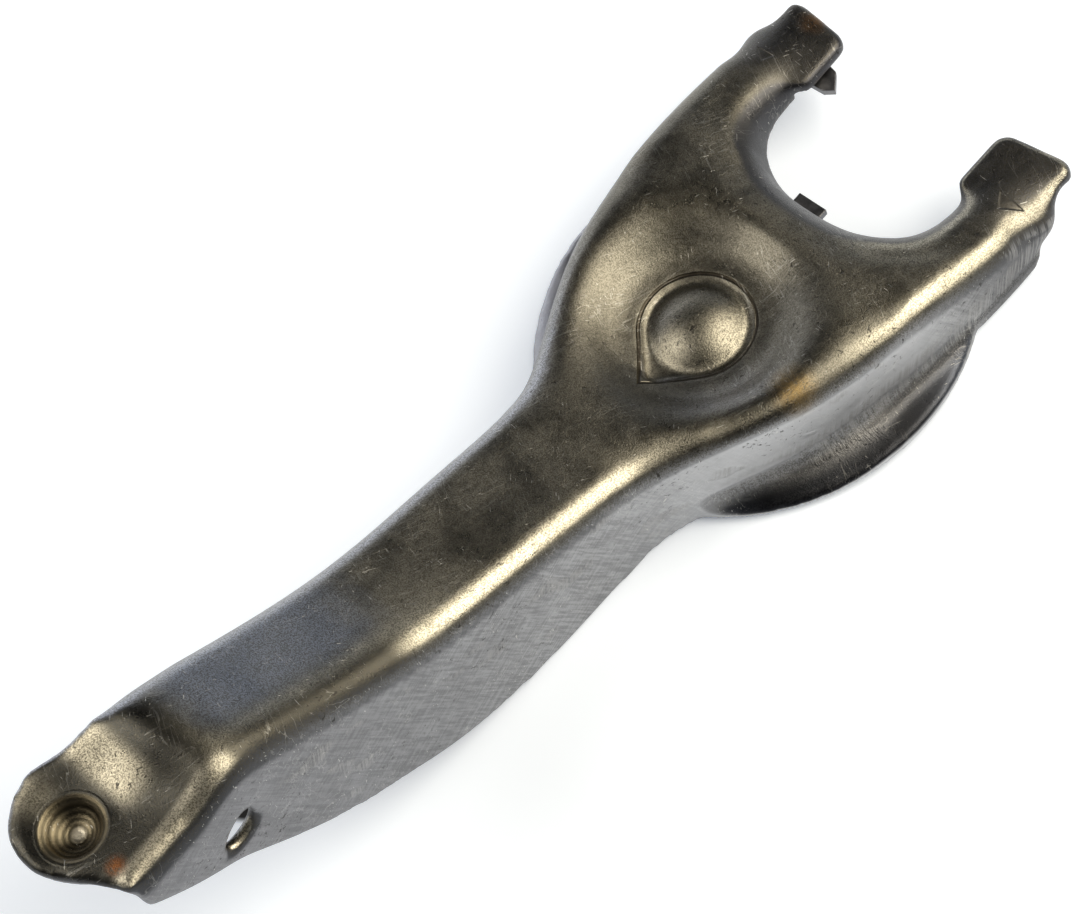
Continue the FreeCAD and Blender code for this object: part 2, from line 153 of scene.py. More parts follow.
# ---------------------------------------------------------------- surface groups
def mill_grain(g, i):
    """Fine tooth of as-rolled, pressed sheet: a height, a broad mottling and sparse dark flecks."""
    p = i["Coord"]
    fine = g.noise(p, 2.6, 3.0, 0.7)
    mid = g.noise(p, 0.5, 4.0, 0.62)
    broad = g.noise(p, 0.055, 4.0, 0.6, 0.5)
    height = g.math("ADD", g.math("MULTIPLY", fine, 0.65), g.math("MULTIPLY", mid, 0.35))
    mottle = g.math("ADD", g.math("MULTIPLY", mid, 0.3), g.math("MULTIPLY", broad, 0.7))
    fleck = g.noise(p, 0.8, 2.0, 0.55, 0.8)
    crowd = g.noise(g.vec("ADD", p, (41.0, 7.0, 3.0)), 0.045, 2.0, 0.5)
    dark = g.math("MULTIPLY", g.step(fleck, 0.62, 0.70), g.step(crowd, 0.44, 0.62))
    return {"Height": height, "Mottle": mottle, "Fine": fine, "Fleck": dark}


def draw_marks(g, i):
    """Marks of the die on a drawn wall: faint lines that lean, and rough ribbed patches."""
    p = i["Coord"]
    lean = g.turned(p, (0.0, math.radians(28), 0.0))
    long = g.noise(g.scaled(lean, (1.3, 0.5, 0.12)), 1.0, 4.0, 0.65)
    cross = g.noise(g.scaled(g.turned(p, (0.0, math.radians(-62), 0.0)), (1.7, 0.6, 0.10)),
                    1.0, 3.0, 0.6)
    lines = g.math("ADD", g.math("MULTIPLY", long, 0.6), g.math("MULTIPLY", cross, 0.4))
    ribs = g.noise(g.scaled(g.turned(p, (0.0, math.radians(-14), 0.0)), (1.5, 0.3, 0.05)),
                   1.0, 2.0, 0.7, 0.3)
    where = g.noise(g.scaled(g.turned(p, (0.0, math.radians(-25), 0.0)), (0.05, 0.05, 0.12)),
                    1.0, 2.0, 0.5)
    return {"Lines": lines, "Ribs": ribs, "Where": where}


def nicks(g, i):
    """Short bright handling nicks at three angles."""
    p = i["Coord"]
    total = None
    for angle, shift in ((0.5, 0.0), (-0.8, 31.0), (1.7, 67.0)):
        q = g.vec("ADD", g.turned(p, (0.0, 0.0, angle)), (shift, shift * 0.7, 0.0))
        line = g.noise(g.scaled(q, (0.35, 3.4, 0.8)), 1.0, 1.0, 0.4, 0.4)
        gate = g.noise(q, 0.13, 1.0, 0.5)
        hit = g.math("MULTIPLY", g.step(line, 0.72, 0.76), g.step(gate, 0.53, 0.62))
        total = hit if total is None else g.math("MAXIMUM", total, hit)
    return {"Mask": total}


def hairlines(g, i):
    """Long faint scuffs in two directions."""
    p = i["Coord"]
    total = None
    for angle, shift in ((0.35, 11.0), (-1.1, 53.0)):
        q = g.vec("ADD", g.turned(p, (0.0, 0.0, angle)), (shift, shift, shift))
        wave = g.noise(g.scaled(q, (0.035, 0.45, 0.2)), 1.0, 2.0, 0.5)
        line = g.step(g.math("ABSOLUTE", g.math("SUBTRACT", wave, 0.5)), 0.004, 0.012, 1.0, 0.0)
        gate = g.step(g.noise(q, 0.06, 2.0, 0.6), 0.5, 0.64)
        hit = g.math("MULTIPLY", line, gate)
        total = hit if total is None else g.math("MAXIMUM", total, hit)
    return {"Mask": total}


def drop_line(g, i):
    """Signed distance (mm) from the outline of the drop-shaped recess round the ball dome."""
    xyz = g.node("ShaderNodeSeparateXYZ", {0: i["Coord"]}).outputs
    side = g.math("ABSOLUTE", xyz[1])
    lean = math.acos(DROP_ROUND / DROP_POINT)
    straight = g.math("ADD", g.math("MULTIPLY", xyz[0], -math.cos(lean)),
                      g.math("MULTIPLY", side, math.sin(lean)))
    ring = g.vec("LENGTH", g.node("ShaderNodeCombineXYZ", {0: xyz[0], 1: xyz[1]}).outputs[0], out=1)
    in_point = g.math("LESS_THAN", side, g.math("MULTIPLY", xyz[0], -math.tan(lean)))
    far = g.node("ShaderNodeMix", {0: in_point, 2: ring, 3: straight}, data_type="FLOAT").outputs[0]
    return {"Distance": g.math("SUBTRACT", far, DROP_ROUND)}


def turned_rings(g, i):
    """Rings left by the punch in the push-rod seat, round its axis, with a painted highlight at its
    centre.
    """
    flat = g.scaled(g.vec("SUBTRACT", i["Coord"], SEAT), (1.0, 1.0, 0.0))
    far = g.vec("LENGTH", flat, out=1)
    inside = g.step(far, SEAT_ROUND - 0.4, SEAT_ROUND + 0.4, 1.0, 0.0)
    wave = g.math("SINE", g.math("MULTIPLY", far, 5.2))
    seat_glint = g.step(far, 0.9, 2.3, 1.0, 0.0)
    rim = g.step(g.math("ABSOLUTE", g.math("SUBTRACT", far, SEAT_ROUND + 0.2)), 0.2, 0.8, 1.0, 0.0)
    return {"Inside": inside, "Wave": g.math("MULTIPLY", wave, inside), "Glint": seat_glint, "Rim": rim}


DROP_ROUND, DROP_POINT = 13.8, 20.0
SEAT, SEAT_ROUND = (-188.4, 4.6, 0.0), 8.0
AT = [("Coord", VEC, None)]
grain_group = group("mill_grain", AT, [("Height", FLT), ("Mottle", FLT), ("Fine", FLT),
                                       ("Fleck", FLT)], mill_grain)
draw_group = group("draw_marks", AT, [("Lines", FLT), ("Ribs", FLT), ("Where", FLT)], draw_marks)
nick_group = group("handling_nicks", AT, [("Mask", FLT)], nicks)
hair_group = group("hairlines", AT, [("Mask", FLT)], hairlines)
drop_group = group("drop_line", AT, [("Distance", FLT)], drop_line)
ring_group = group("turned_rings", AT, [("Inside", FLT), ("Wave", FLT), ("Glint", FLT),
                                        ("Rim", FLT)], turned_rings)


# ---------------------------------------------------------------- finish of the fork, with its painted light and shade
TONE = {
    "web_dark": rgb(0.135, 0.126, 0.102), "web_light": rgb(0.215, 0.20, 0.162),
    "wall_dark": rgb(0.22, 0.22, 0.225), "wall_light": rgb(0.36, 0.36, 0.365),
    "yoke_wall": rgb(0.56, 0.56, 0.57), "arm_wall": rgb(0.10, 0.10, 0.105),
    "nose_wall": rgb(0.13, 0.13, 0.14), "tips": rgb(0.062, 0.062, 0.067),
    "bend_highlight": rgb(0.56, 0.52, 0.41), "bend_shade": rgb(0.035, 0.034, 0.031),
    "dome": rgb(0.33, 0.305, 0.24), "bowl_highlight": rgb(0.46, 0.42, 0.32),
    "bowl_shade": rgb(0.043, 0.043, 0.040), "ridge_highlight": rgb(0.62, 0.57, 0.45),
    "slope_reflection": rgb(0.26, 0.28, 0.32), "left_bend_sheen": rgb(0.40, 0.41, 0.44),
    "steep_bend_shade": rgb(0.045, 0.046, 0.05), "pits": rgb(0.075, 0.068, 0.052),
    "notch": rgb(0.062, 0.062, 0.067), "sheared": rgb(0.10, 0.10, 0.105),
    "inside": rgb(0.05, 0.048, 0.045), "flecks": rgb(0.03, 0.028, 0.025),
    "ribs": rgb(0.36, 0.355, 0.35), "crease": rgb(0.03, 0.028, 0.026),
    "brim_near": rgb(0.011, 0.012, 0.016), "brim_far": rgb(0.085, 0.095, 0.12),
    "brim_left": rgb(0.34, 0.34, 0.36), "groove": rgb(0.035, 0.028, 0.02),
    "seat_dark": rgb(0.075, 0.064, 0.042), "seat_light": rgb(0.155, 0.13, 0.085),
    "seat_glint": rgb(0.55, 0.50, 0.40), "coined": rgb(0.08, 0.072, 0.06),
    "scratch": rgb(0.85, 0.83, 0.77),
}
# How much of each tone is laid over what is under it
COVER = {
    "tips": 0.8, "bend_highlight": 0.85, "bend_shade": 0.93, "dome": 0.9, "bowl_highlight": 0.9,
    "bowl_shade": 0.93, "ridge_highlight": 0.9, "slope_reflection": 0.9, "left_bend_sheen": 0.8, "pits": 0.66, "notch": 0.86,
    "sheared": 0.7, "inside": 0.8, "flecks": 0.8, "ribs": 0.6, "crease": 0.75, "brim": 0.92,
    "groove": 0.85, "seat_glint": 0.7, "stain": 0.85, "coined": 0.3, "scratch": 0.4, "hairline": 0.35,
}
# Places where a finish sets in and is full, in mm: along X
X_REACH = {
    "tips": (50.0, 74.0), "yoke_wall_from": (-60.0, -10.0), "yoke_wall_to": (22.0, 48.0),
    "arm_wall": (36.0, 60.0), "nose_wall": (-170.0, -60.0), "tips_less_bend_highlight": (56.0, 74.0),
    "bend_shade_from": (-160.0, -153.0), "bend_shade_to": (-104.0, -114.0),
    "ridge_highlight": (-154.0, -160.0), "slope_reflection_from": (-160.0, -148.0), "slope_reflection_to": (-92.0, -106.0),
    "left_bend_sheen": (10.0, -40.0), "steep_bend_shade": (-165.0, -135.0), "sheared": (76.0, 82.0),
    "band": (-30.0, -10.0), "crease": (-34.0, -20.0), "brim_far": (14.0, 50.0),
}
# along Y, or off the middle plane
Y_REACH = {
    "bend_highlight": (-4.0, -12.0), "bend_shade": (-7.0, -12.0), "bowl_highlight": (-6.0, 2.0),
    "bowl": (-13.0, -9.5), "ridge_highlight": (-9.5, -12.5), "slope_reflection": (-10.0, -2.0),
    "brim_root": (24.0, 27.0), "brim": (26.0, 29.0), "brim_left": (0.0, 5.0),
}
# along Z
Z_REACH = {
    "brim_root": (-7.5, -9.5), "notch": (-16.0, -10.0), "band_from": (-19.5, -18.0),
    "band_to": (-12.0, -9.0), "brim": (-17.5, -20.5),
}
# off a point or line: the pivot, the push-rod seat, the notch's middle, the bowl's bright arc
FAR_REACH = {
    "dish": (36.0, 48.0), "dome": (12.0, 13.6), "bowl": (26.0, 38.0), "notch": (40.0, 36.0),
    "highlight_arc": (2.5, 7.5), "groove": (0.15, 0.55), "crease": (0.7, 2.0),
}
# and by how far the surface leans: the normal's part along X, Y or Z
LEAN = {
    "wall": (0.30, 0.70), "above": (0.1, 0.5), "bend_highlight_flat": (0.975, 0.92),
    "bend_highlight_steep": (0.62, 0.76), "ridge_highlight": (0.60, 0.74), "slope_reflection": (0.36, 0.50),
    "left_bend_sheen": (0.12, 0.5), "steep_bend_flat": (0.72, 0.52), "steep_bend_wall": (0.02, 0.20),
    "notch": (0.93, 0.80), "inside": (-0.1, -0.5),
}
NOTCH_MID = 70.5
HIGHLIGHT_ARC_X, CREASE_Z, GROOVE_OUT = -173.0, -19.0, 0.5
HIGHLIGHT_SPOT, HIGHLIGHT_SPOT_ROUND = (-189.0, 17.0, 54.0), 9.0
SOFT_SPOT = 0.9
STAINS = (((-1.5, -32.4, 5.0), 8.0, rgb(0.24, 0.155, 0.05)),
          ((83.4, 34.0, -4.4), 5.0, rgb(0.20, 0.11, 0.05)),
          ((-188.4, -9.2, 55.0), 3.6, rgb(0.24, 0.09, 0.03)))
COINED_LEFT = ((69.8, 41.0), (66.7, 36.7), (69.9, 35.1))
COINED_RIGHT = ((71.3, -34.6), (66.9, -37.5), (70.8, -42.6))
COINED_EDGE = (-0.15, 0.35)
GRAIN_WEB, GRAIN_WALL, EDGE_SOFT = 0.13, 0.09, 0.7 * MM
ROUGH_WEB, ROUGHER_WALL, ROUGHER_PATCH = (0.26, 0.40), 0.12, 0.08
# Height of each mark in mm, sunk where negative
RELIEF = {"lines": 0.05, "ribs": 0.16, "scratch": -0.02, "groove": -0.25, "flecks": -0.03,
          "rings": 0.018, "seat_rim": 0.10, "coined": -0.22}


def corner_mark(g, coord, corners):
    """1 inside a three-cornered coined mark (mm, seen from above), soft at its edges."""
    total = None
    for (x0, y0), (x1, y1) in zip(corners, corners[1:] + corners[:1]):
        size = math.hypot(x1 - x0, y1 - y0)
        nx, ny = -(y1 - y0) / size, (x1 - x0) / size
        side = g.math("ADD", g.vec("DOT_PRODUCT", coord, (nx, ny, 0.0), out=1),
                      -(nx * x0 + ny * y0))
        hit = g.step(side, *COINED_EDGE)
        total = hit if total is None else g.both(total, hit)
    return total


class Steel:
    """What the fork's finish and its painted light depend on at a point: where it is, how it leans,
    and the marks.
    """

    def __init__(self, g):
        self.g = g
        self.coord = g.scaled(g.node("ShaderNodeTexCoord").outputs["Object"],
                              (1000.0, 1000.0, 1000.0))
        self.x, self.y, self.z = g.node("ShaderNodeSeparateXYZ", {0: self.coord}).outputs
        normal = g.node("ShaderNodeNewGeometry").outputs["Normal"]
        self.nx, self.ny, self.nz = g.node("ShaderNodeSeparateXYZ", {0: normal}).outputs
        self.side = g.math("ABSOLUTE", self.y)
        at = {"Coord": self.coord}
        self.grain, self.drawn = use(g, grain_group, at), use(g, draw_group, at)
        self.nick, self.hair = use(g, nick_group, at)["Mask"], use(g, hair_group, at)["Mask"]
        self.ring, self.gap = use(g, ring_group, at), use(g, drop_group, at)["Distance"]
        self.wall = g.step(g.math("ABSOLUTE", self.nz), *LEAN["wall"], 1.0, 0.0)
        self.above = g.step(self.nz, *LEAN["above"])
        self.root = g.both(g.step(self.z, *Z_REACH["brim_root"]),
                           g.step(self.side, *Y_REACH["brim_root"]))
        plan = g.node("ShaderNodeCombineXYZ", {0: self.x, 1: self.y}).outputs[0]
        self.pivot_far = g.vec("LENGTH", plan, out=1)
        off_seat = g.scaled(g.vec("SUBTRACT", self.coord, SEAT), (1.0, 1.0, 0.0))
        self.seat_far = g.vec("LENGTH", off_seat, out=1)
        off_notch = g.vec("SUBTRACT", g.scaled(self.coord, (1.0, 1.0, 0.0)), (NOTCH_MID, 0.0, 0.0))
        self.notch_far = g.vec("LENGTH", off_notch, out=1)

    def wall_tone(self):
        """Bare drawn steel, with a painted reflection that makes it pale by the yoke and painted
        shade that darkens it along the arms and toward the nose.
        """
        g = self.g
        tone = g.mix(g.step(self.drawn["Lines"], 0.40, 0.60), TONE["wall_dark"], TONE["wall_light"])
        # Painted reflection: a pale tone on the walls by the yoke.
        yoke = g.both(g.step(self.x, *X_REACH["yoke_wall_from"], 0.0, 0.85),
                      g.step(self.x, *X_REACH["yoke_wall_to"], 1.0, 0.0))
        tone = g.mix(yoke, tone, TONE["yoke_wall"])
        # Painted shade: dark tones on the walls along the arms and toward the nose.
        tone = g.mix(g.step(self.x, *X_REACH["arm_wall"], 0.0, 0.8), tone, TONE["arm_wall"])
        return g.mix(g.step(self.x, *X_REACH["nose_wall"], 0.62, 0.05), tone, TONE["nose_wall"])

    def web_tone(self):
        """Patina of the top face, lighter on the ball dome, with a painted highlight on the
        right-hand bend, painted shade on its shank stretch and painted reflections on the shank
        slope and the left bend.
        """
        g = self.g
        tone = g.mix(g.step(self.grain["Mottle"], 0.38, 0.62), TONE["web_dark"], TONE["web_light"])
        tone = g.tint(tone, g.step(self.x, *X_REACH["tips"]), COVER["tips"], TONE["tips"])
        # Painted highlight: a lighter tone on the right-hand bend, in the lean band that faces the
        # right softbox.
        bend_highlight = g.both(g.step(self.nz, *LEAN["bend_highlight_flat"]),
                        g.step(self.nz, *LEAN["bend_highlight_steep"]),
                        g.step(self.pivot_far, *FAR_REACH["dish"]),
                        g.step(self.y, *Y_REACH["bend_highlight"]),
                        g.step(self.x, *X_REACH["tips_less_bend_highlight"], 1.0, 0.55))
        tone = g.tint(tone, bend_highlight, COVER["bend_highlight"], TONE["bend_highlight"])
        # Painted shade: a near-black tone on the shank's stretch of the right-hand bend, where its
        # highlight strip goes dark.
        painted_bend_shade = g.both(g.step(self.x, *X_REACH["bend_shade_from"]),
                      g.step(self.x, *X_REACH["bend_shade_to"]),
                      g.step(self.y, *Y_REACH["bend_shade"]))
        tone = g.tint(tone, painted_bend_shade, COVER["bend_shade"], TONE["bend_shade"])
        dome = g.step(self.pivot_far, *FAR_REACH["dome"], 1.0, 0.0)
        tone = g.tint(tone, dome, COVER["dome"], TONE["dome"])
        tone = self.nose_tone(tone)
        # Painted reflection: a bluish grey on the shank where the surface leans toward +X.
        slope_reflection = g.both(g.step(self.nx, *LEAN["slope_reflection"]), g.step(self.x, *X_REACH["slope_reflection_to"]),
                       g.step(self.x, *X_REACH["slope_reflection_from"]), g.step(self.y, *Y_REACH["slope_reflection"]))
        tone = g.tint(tone, slope_reflection, COVER["slope_reflection"], TONE["slope_reflection"])
        # Painted reflection: a pale grey sheen on the left-hand bend.
        left = g.both(g.step(self.ny, *LEAN["left_bend_sheen"]), g.step(self.x, *X_REACH["left_bend_sheen"]))
        return g.tint(tone, left, COVER["left_bend_sheen"], TONE["left_bend_sheen"])

    def nose_tone(self, tone):
        """Painted light round the push-rod seat: painted shade in the bowl, a painted highlight arc
        and spot, and a painted highlight on the ridge.
        """
        g = self.g
        # Painted highlights in the bowl: a bright arc and a bright spot where the bowl catches the
        # softboxes.
        off_arc = g.math("ABSOLUTE", g.math("SUBTRACT", self.x, HIGHLIGHT_ARC_X))
        arc = g.both(g.step(off_arc, *FAR_REACH["highlight_arc"], 1.0, 0.0),
                     g.step(self.y, *Y_REACH["bowl_highlight"]))
        spot = g.blob(self.coord, HIGHLIGHT_SPOT, HIGHLIGHT_SPOT_ROUND, SOFT_SPOT)
        bowl_glints = g.math("MAXIMUM", arc, spot)
        bowl = g.both(g.step(self.seat_far, *FAR_REACH["bowl"], 1.0, 0.0), self.above,
                      g.step(self.y, *Y_REACH["bowl"]))
        tone = g.tint(tone, g.both(bowl, bowl_glints), COVER["bowl_highlight"], TONE["bowl_highlight"])
        # Painted shade: a near-black tone over the rest of the bowl, holding back its reflections.
        tone = g.tint(tone, g.both(bowl, g.math("SUBTRACT", 1.0, bowl_glints)), COVER["bowl_shade"],
                      TONE["bowl_shade"])
        # Painted highlight: a gold tone on the ridge at the nose's right-hand bend.
        ridge_highlight = g.both(g.step(self.x, *X_REACH["ridge_highlight"]), g.step(self.y, *Y_REACH["ridge_highlight"]),
                       g.step(self.nz, *LEAN["ridge_highlight"]))
        return g.tint(tone, ridge_highlight, COVER["ridge_highlight"], TONE["ridge_highlight"])

    def shade_and_dirt(self, tone):
        """Painted shade on steep bends, the notch wall and faces that look down; dark pits, sheared
        ends and flecks.
        """
        g = self.g
        # Painted shade: a near-black band on the steeper part of the bends, below the highlight
        # strip.
        steep = g.both(g.step(self.nz, *LEAN["steep_bend_flat"]),
                       g.step(self.nz, *LEAN["steep_bend_wall"]),
                       g.step(self.x, *X_REACH["steep_bend_shade"], 0.92, 0.5))
        tone = g.mix(steep, tone, TONE["steep_bend_shade"])
        pits = g.both(g.step(self.grain["Fine"], 0.54, 0.44), self.above)
        tone = g.tint(tone, pits, COVER["pits"], TONE["pits"])
        # Painted shade: a near-black tone on the notch wall between the arms.
        notch = g.both(g.step(self.notch_far, *FAR_REACH["notch"]), g.step(self.nz, *LEAN["notch"]),
                       g.step(self.z, *Z_REACH["notch"]))
        tone = g.tint(tone, notch, COVER["notch"], TONE["notch"])
        sheared = g.both(self.wall, g.step(self.x, *X_REACH["sheared"]))
        tone = g.tint(tone, sheared, COVER["sheared"], TONE["sheared"])
        # Painted shade: a dark tone on faces that look down.
        tone = g.tint(tone, g.step(self.nz, *LEAN["inside"]), COVER["inside"], TONE["inside"])
        return g.tint(tone, self.grain["Fleck"], COVER["flecks"], TONE["flecks"])

    def die_patches(self):
        """Rough patches left by the die, most of all in a band above the brims."""
        g = self.g
        band = g.both(g.step(self.z, *Z_REACH["band_from"]),
                      g.step(self.z, *Z_REACH["band_to"], 1.0, 0.0),
                      g.step(self.x, *X_REACH["band"]))
        where = g.math("MAXIMUM", g.both(band, g.step(self.drawn["Where"], 0.34, 0.48)),
                       g.step(self.drawn["Where"], 0.60, 0.66))
        return g.both(where, g.math("MAXIMUM", self.wall, self.root))

    def brim_marks(self, tone, patch):
        """Ribs in the rough patches, the speckled crease at the brims' roots, and painted shade and
        reflection on the brims.
        """
        g = self.g
        ribs = g.both(patch, g.step(self.drawn["Ribs"], 0.42, 0.60))
        tone = g.tint(tone, ribs, COVER["ribs"], TONE["ribs"])
        off_crease = g.math("ABSOLUTE", g.math("SUBTRACT", self.z, CREASE_Z))
        crease = g.both(g.step(off_crease, *FAR_REACH["crease"], 1.0, 0.0),
                        g.step(self.grain["Fine"], 0.40, 0.54), g.step(self.x, *X_REACH["crease"]))
        tone = g.tint(tone, crease, COVER["crease"], TONE["crease"])
        # Painted shade and reflection on the brims: near black toward the shank, a dark bluish
        # reflection toward the arm tips, pale grey on the left-hand brim.
        brim = g.both(g.step(self.z, *Z_REACH["brim"]), self.above,
                      g.step(self.side, *Y_REACH["brim"]))
        brim_shade_and_reflection = g.mix(g.step(self.x, *X_REACH["brim_far"]), TONE["brim_near"], TONE["brim_far"])
        brim_shade_and_reflection = g.mix(g.step(self.y, *Y_REACH["brim_left"]), brim_shade_and_reflection, TONE["brim_left"])
        return g.tint(tone, brim, COVER["brim"], brim_shade_and_reflection)

    def seat_marks(self, tone, groove):
        """Painted shade in the groove round the drop-shaped recess, and the ringed push-rod seat
        with a painted highlight at its centre.
        """
        g, ring = self.g, self.ring
        # Painted shade: a dark line along the groove.
        tone = g.tint(tone, groove, COVER["groove"], TONE["groove"])
        bronze = g.mix(g.step(ring["Wave"], -1.0, 1.0), TONE["seat_dark"], TONE["seat_light"])
        tone = g.mix(g.both(ring["Inside"], self.above), tone, bronze)
        # Painted highlight: a pale spot at the centre of the push-rod seat.
        return g.tint(tone, g.both(ring["Glint"], self.above), COVER["seat_glint"], TONE["seat_glint"])


def fork_steel():
    mat = bpy.data.materials.new("fork_steel")
    mat.use_nodes = True
    mat.node_tree.nodes.clear()
    g = Graph(mat.node_tree)
    fork = Steel(g)
    grain, drawn = fork.grain, fork.drawn
    walls = g.math("MAXIMUM", fork.wall, g.both(fork.root, fork.above))
    colour = fork.shade_and_dirt(g.mix(walls, fork.web_tone(), fork.wall_tone()))
    patch = fork.die_patches()
    colour = fork.brim_marks(colour, patch)
    off_groove = g.math("ABSOLUTE", g.math("SUBTRACT", fork.gap, GROOVE_OUT))
    groove = g.both(g.step(off_groove, *FAR_REACH["groove"], 1.0, 0.0), fork.above)
    colour = fork.seat_marks(colour, groove)
    for spot, far, stain in STAINS:
        mask = g.both(g.blob(fork.coord, spot, far, SOFT_SPOT), g.step(grain["Height"], 0.36, 0.54))
        colour = g.tint(colour, mask, COVER["stain"], stain)
    coined = g.both(g.math("MAXIMUM", corner_mark(g, fork.coord, COINED_LEFT),
                           corner_mark(g, fork.coord, COINED_RIGHT)), fork.above)
    colour = g.tint(colour, coined, COVER["coined"], TONE["coined"])
    scratch = g.math("MAXIMUM", fork.nick, g.both(fork.hair, COVER["hairline"]))
    colour = g.tint(colour, scratch, COVER["scratch"], TONE["scratch"])

    rough = g.math("ADD", g.step(grain["Mottle"], 0.35, 0.65, *ROUGH_WEB),
                   g.both(fork.wall, ROUGHER_WALL))
    rough = g.math("ADD", rough, g.both(patch, ROUGHER_PATCH))
    height = g.both(grain["Height"], g.step(fork.wall, 0.0, 1.0, GRAIN_WEB, GRAIN_WALL))
    for mark, part in (("lines", g.both(drawn["Lines"], fork.wall)),
                       ("ribs", g.both(drawn["Ribs"], patch)), ("scratch", scratch),
                       ("groove", groove), ("flecks", grain["Fleck"]), ("rings", fork.ring["Wave"]),
                       ("seat_rim", g.both(fork.ring["Rim"], fork.above)), ("coined", coined)):
        height = g.math("ADD", height, g.both(part, RELIEF[mark]))
    soft = g.node("ShaderNodeBevel", {"Radius": EDGE_SOFT}, samples=4)
    bump = g.node("ShaderNodeBump", {"Height": height, "Distance": MM, "Strength": 1.0,
                                     "Normal": soft.outputs[0]})
    shader = g.node("ShaderNodeBsdfPrincipled", {"Base Color": colour, "Metallic": 1.0,
                                                 "Roughness": rough, "Normal": bump.outputs[0]})
    g.feed(g.node("ShaderNodeOutputMaterial").inputs[0], shader.outputs[0])
    return mat


SPRING_DARK, SPRING_LIGHT = rgb(0.13, 0.13, 0.14), rgb(0.27, 0.265, 0.27)
SPRING_GRAIN, SPRING_EDGE, SPRING_ROUGH = 0.05, 0.5 * MM, (0.25, 0.45)


def spring_steel():
    mat = bpy.data.materials.new("spring_steel")
    mat.use_nodes = True
    mat.node_tree.nodes.clear()
    g = Graph(mat.node_tree)
    coord = g.scaled(g.node("ShaderNodeTexCoord").outputs["Object"], (1000.0, 1000.0, 1000.0))
    grain = use(g, grain_group, {"Coord": coord})
    colour = g.mix(g.step(grain["Mottle"], 0.35, 0.65), SPRING_DARK, SPRING_LIGHT)
    soft = g.node("ShaderNodeBevel", {"Radius": SPRING_EDGE}, samples=4)
    bump = g.node("ShaderNodeBump", {"Height": g.both(grain["Height"], SPRING_GRAIN),
                                     "Distance": MM, "Normal": soft.outputs[0]})
    shader = g.node("ShaderNodeBsdfPrincipled", {
        "Base Color": colour, "Metallic": 1.0, "Normal": bump.outputs[0],
        "Roughness": g.step(grain["Mottle"], 0.3, 0.7, *SPRING_ROUGH)})
    g.feed(g.node("ShaderNodeOutputMaterial").inputs[0], shader.outputs[0])
    return mat


def dress(obj, mat):
    obj.data.materials.clear()
    obj.data.materials.append(mat)


# ---------------------------------------------------------------- pressed skin of the fork
def remeshed(source, name, voxel):
    """Copy of a node's surface in even small faces, for the press's soft blends."""
    grid = bpy.data.objects.new(name + "_grid", source.data.copy())
    scene.collection.objects.link(grid)
    grid.matrix_world = source.matrix_world
    step = grid.modifiers.new("even", "REMESH")
    step.mode, step.voxel_size, step.use_smooth_shade = "VOXEL", voxel, True
    bpy.context.view_layer.update()
    even = grid.evaluated_get(bpy.context.evaluated_depsgraph_get())
    mesh = bpy.data.meshes.new_from_object(even)
    mesh.transform(source.matrix_world)
    mesh.name = name
    bpy.data.objects.remove(grid)
    obj = bpy.data.objects.new(name, mesh)
    scene.collection.objects.link(obj)
    return obj


def ramp(x, lo, hi):
    t = np.clip((x - lo) / (hi - lo), 0.0, 1.0)
    return t * t * (3 - 2 * t)


class Surface:
    """Vertices of one mesh in mm, with smoothing held to chosen places."""

    def __init__(self, obj):
        self.mesh = obj.data
        self.points = np.empty(len(self.mesh.vertices) * 3)
        self.mesh.vertices.foreach_get("co", self.points)
        self.points = self.points.reshape(-1, 3) / MM
        self.edges = np.empty(len(self.mesh.edges) * 2, dtype=np.int64)
        self.mesh.edges.foreach_get("vertices", self.edges)
        self.edges = self.edges.reshape(-1, 2)
        self.count = np.bincount(self.edges.ravel(), minlength=len(self.points))[:, None]

    def normals(self):
        self.store()
        out = np.empty(len(self.points) * 3)
        self.mesh.vertices.foreach_get("normal", out)
        return out.reshape(-1, 3)

    def smooth(self, rounds, weight):
        a, b = self.edges.T
        for _ in range(rounds):
            total = np.zeros_like(self.points)
            for axis in range(3):
                total[:, axis] = (np.bincount(a, self.points[b, axis], len(self.points))
                                  + np.bincount(b, self.points[a, axis], len(self.points)))
            self.points += (total / self.count - self.points) * (0.5 * weight[:, None])

    def spread(self, weight, rounds):
        """The same weights without sudden steps from one vertex to the next."""
        a, b = self.edges.T
        for _ in range(rounds):
            total = np.bincount(a, weight[b], len(weight)) + np.bincount(b, weight[a], len(weight))
            weight = 0.5 * weight + 0.5 * total / self.count[:, 0]
        return weight

    def store(self):
        self.mesh.vertices.foreach_set("co", (self.points * MM).ravel())
        self.mesh.update()


# Size of the skin's faces in mm, and rounds of smoothing in each place
SKIN_STEP = 0.9
ROUNDS = {"all": 3, "nose": 45, "rim": 14, "dish": 110, "pads": 60, "ears": 70}
# Where each smoothing sets in (in) and fades (out), in mm off the seat, the pivot or along an axis
BLEND = {
    "top": (0.15, 0.4), "nose_in": (10, 14), "nose_out": (34, 44), "nose_z": (26, 36),
    "rim_in": (10.5, 13), "rim_out": (24, 40), "dish_in": (21, 26), "dish_out": (42, 50),
    "pad_in": (60, 66), "pad_out": (80, 84), "pad_side_in": (25, 28), "pad_side_out": (44, 47),
    "ear_out": (7, 13),
}
EAR = (73, 45, -9)
# Rise of the bowl's floor over its distance from the seat, and how it is levelled to the right
BOWL_FAR = (0, 8, 12.8, 17.6, 22.4, 27.2, 32.8, 38.4)
BOWL_RISE = (0, 0, 0.92, 2.99, 5.98, 8.19, 8.97, 11.96)
LEVEL_TOWARD, LEVEL_SHARE, LEVEL_OUT, LEVEL_Z = (0.0, 0.8), 0.5, (26, 40), (22, 46)
# Lean of the notch wall in mm, from its lower edge up to the bend
NOTCH_LEAN, LEAN_Z, LEAN_OUT, LEAN_X = 3.6, (-12.5, 3.0), (34, 47), (48, 70)


